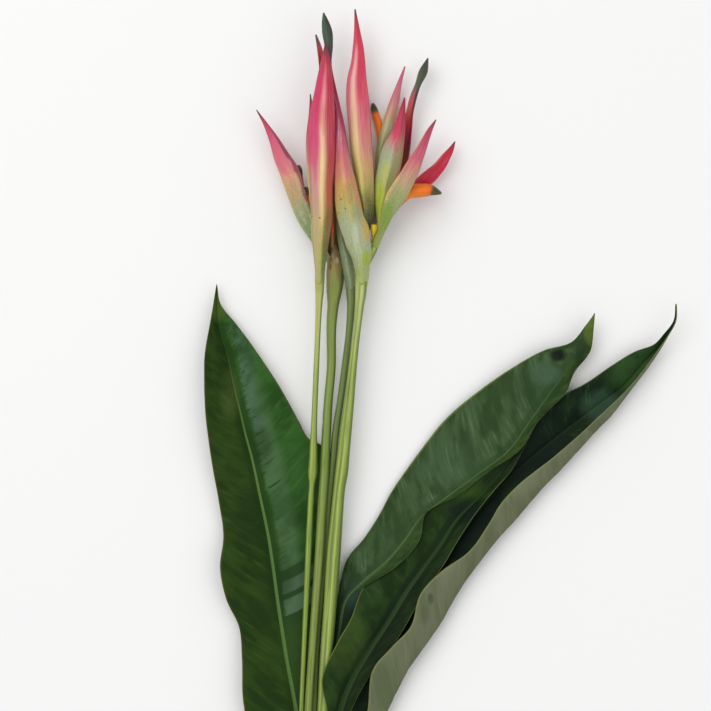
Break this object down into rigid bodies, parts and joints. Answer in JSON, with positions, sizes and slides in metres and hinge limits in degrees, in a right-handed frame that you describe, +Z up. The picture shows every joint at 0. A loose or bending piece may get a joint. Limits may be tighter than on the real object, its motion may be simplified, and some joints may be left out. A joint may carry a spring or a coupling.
{
  "type": "cut heliconia flower bunch",
  "caption": "Cut bunch of parrot heliconia lying face up: pink and green boat-shaped bracts on slender stems, with long paddle leaves gathered by a raffia band.",
  "frame": {"origin": "middle of the whole bunch's box, on the surface that it lies on", "axes": "+Y from the cut ends to the bract tips, +X to the right as the bunch is seen from above, +Z up from the surface"},
  "size_m": [0.3153, 0.5883, 0.0362],
  "materials": {
    "stem": "fresh green stem, satin",
    "sheath": "green leaf sheath, satin",
    "leaf": "dark green leaf blade, waxy",
    "bract": "waxy pink bract, olive at the base",
    "bract_olive": "waxy olive green bract",
    "floret": "orange floret with a dark tip",
    "floret_yellow": "yellow young floret",
    "raffia": "dry straw-coloured band"
  },
  "bodies": {
    "root": {"stem_1": "stem", "stem_2": "stem", "stem_3": "sheath", "stem_4": "stem", "bract_1_1": "bract", "bract_1_2": "bract", "bract_1_3": "bract", "bract_2_1": "bract", "bract_2_2": "bract_olive", "bract_3_1": "bract_olive", "bract_3_2": "bract", "bract_3_3": "bract", "bract_4_1": "bract", "bract_4_2": "bract", "bract_4_3": "bract", "bract_4_4": "bract", "bract_4_5": "bract", "floret_2_1": "floret", "floret_2_2": "floret", "floret_2_3": "floret", "floret_3_1": "floret", "floret_4_1": "floret", "floret_4_2": "floret_yellow", "leaf_left": "leaf", "leaf_upper": "leaf", "leaf_inner": "leaf", "leaf_outer": "leaf", "tie": "raffia"}
  },
  "joints": []
}
